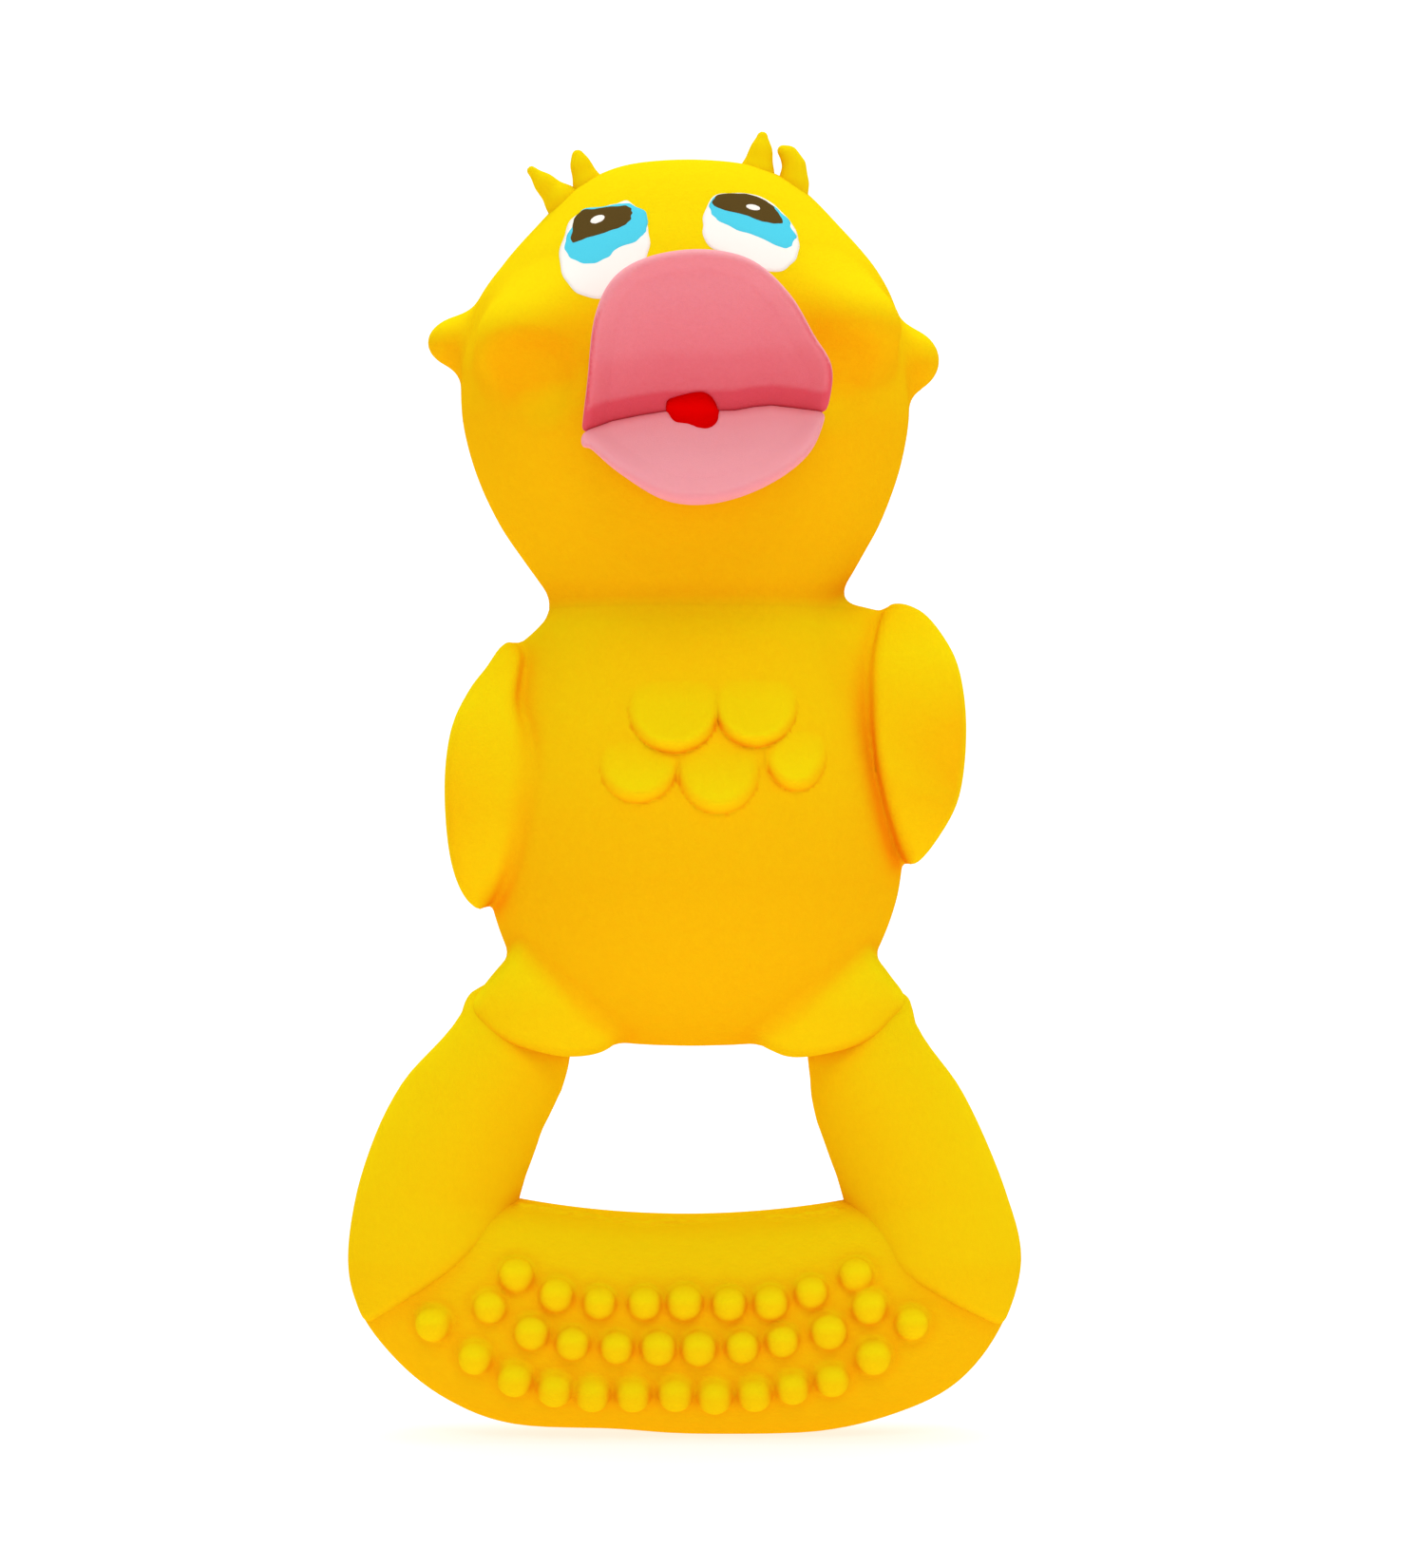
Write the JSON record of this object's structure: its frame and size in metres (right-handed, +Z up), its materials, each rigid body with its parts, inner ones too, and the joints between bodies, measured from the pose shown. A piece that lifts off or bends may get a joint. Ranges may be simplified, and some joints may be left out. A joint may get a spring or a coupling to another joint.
{
  "type": "squeaky rubber chick",
  "caption": "Hollow rubber chick squeaky toy with a trumpet bill, stub wings and a studded loop handle; head, bill, belly, tufts and handle flex, with a squeaker in its back.",
  "frame": {"origin": "centre of the flat under the foot bar", "axes": "+Z up through the neck, -Y out of the face, +X to the right for someone looking at the face"},
  "size_m": [0.0826, 0.0662, 0.1599],
  "materials": {
    "yellow_latex": "matte",
    "pink_paint": "matte",
    "red_paint": "matte",
    "white_paint": "satin",
    "blue_paint": "satin",
    "black_paint": "satin",
    "squeaker_plastic": "matte",
    "reed_plastic": "satin"
  },
  "bodies": {
    "torso": {"torso_skin": "yellow_latex", "left_wing": "yellow_latex", "right_wing": "yellow_latex", "left_thigh_cuff": "yellow_latex", "right_thigh_cuff": "yellow_latex", "squeaker_grommet": "yellow_latex", "squeaker_cup": "squeaker_plastic", "squeaker_cap": "squeaker_plastic", "reed_block": "squeaker_plastic", "reed_clamp": "squeaker_plastic"},
    "belly": {"belly_panel": "yellow_latex", "upper_chest_feathers": "yellow_latex", "lower_chest_feathers": "yellow_latex"},
    "neck": {"neck_band": "yellow_latex"},
    "head": {"head_skin": "yellow_latex", "left_cheek_nub": "yellow_latex", "right_cheek_nub": "yellow_latex", "upper_bill": "pink_paint", "throat": "red_paint", "left_eye_white": "white_paint", "left_eye_iris": "blue_paint", "left_eye_pupil": "black_paint", "left_eye_glint": "white_paint", "right_eye_white": "white_paint", "right_eye_iris": "blue_paint", "right_eye_pupil": "black_paint", "right_eye_glint": "white_paint"},
    "lower_bill": {"lower_bill": "pink_paint"},
    "left_outer_tuft": {"left_outer_tuft": "yellow_latex"},
    "left_inner_tuft": {"left_inner_tuft": "yellow_latex"},
    "right_inner_tuft": {"right_inner_tuft": "yellow_latex"},
    "right_outer_tuft": {"right_outer_tuft": "yellow_latex"},
    "handle": {"left_leg": "yellow_latex", "right_leg": "yellow_latex", "foot_bar": "yellow_latex", "upper_chew_nubs": "yellow_latex", "middle_chew_nubs": "yellow_latex", "lower_chew_nubs": "yellow_latex"},
    "reed": {"squeaker_reed": "reed_plastic"}
  },
  "joints": [
    {"name": "neck_turn", "type": "hinge", "parent": "torso", "child": "neck", "pos_m": [0.0012, 0, 0.101], "axis": [0, 0, 1], "range_deg": [-25, 25], "stiffness_Nm_per_rad": 0.4},
    {"name": "neck_nod", "type": "hinge", "parent": "neck", "child": "head", "pos_m": [0.0012, 0, 0.101], "axis": [1, 0, 0], "range_deg": [-18, 18], "stiffness_Nm_per_rad": 0.4},
    {"name": "bill_open", "type": "hinge", "parent": "head", "child": "lower_bill", "pos_m": [0.0026, -0.0289, 0.123], "axis": [1, 0, 0], "range_deg": [0, 12], "stiffness_Nm_per_rad": 0.05},
    {"name": "belly_press", "type": "slide", "parent": "torso", "child": "belly", "axis": [0, 1, 0], "range_m": [0, 0.005], "stiffness_N_per_m": 400},
    {"name": "handle_swing", "type": "hinge", "parent": "torso", "child": "handle", "pos_m": [0, 0, 0.051], "axis": [1, 0, 0], "range_deg": [-15, 15], "stiffness_Nm_per_rad": 1.2},
    {"name": "left_outer_tuft_flex", "type": "hinge", "parent": "head", "child": "left_outer_tuft", "pos_m": [-0.0162, -0.002, 0.15119], "axis": [0, 1, 0], "range_deg": [-15, 15], "stiffness_Nm_per_rad": 0.005},
    {"name": "left_inner_tuft_flex", "type": "hinge", "parent": "head", "child": "left_inner_tuft", "pos_m": [-0.012, -0.002, 0.15411], "axis": [0, 1, 0], "range_deg": [-15, 15], "stiffness_Nm_per_rad": 0.005},
    {"name": "right_inner_tuft_flex", "type": "hinge", "parent": "head", "child": "right_inner_tuft", "pos_m": [0.009, -0.002, 0.15546], "axis": [0, 1, 0], "range_deg": [-15, 15], "stiffness_Nm_per_rad": 0.005},
    {"name": "right_outer_tuft_flex", "type": "hinge", "parent": "head", "child": "right_outer_tuft", "pos_m": [0.0138, -0.002, 0.15301], "axis": [0, 1, 0], "range_deg": [-15, 15], "stiffness_Nm_per_rad": 0.005},
    {"name": "reed_flutter", "type": "hinge", "parent": "torso", "child": "reed", "pos_m": [0, 0.01755, 0.0752], "axis": [1, 0, 0], "range_deg": [0, 6], "stiffness_Nm_per_rad": 0.0005}
  ]
}
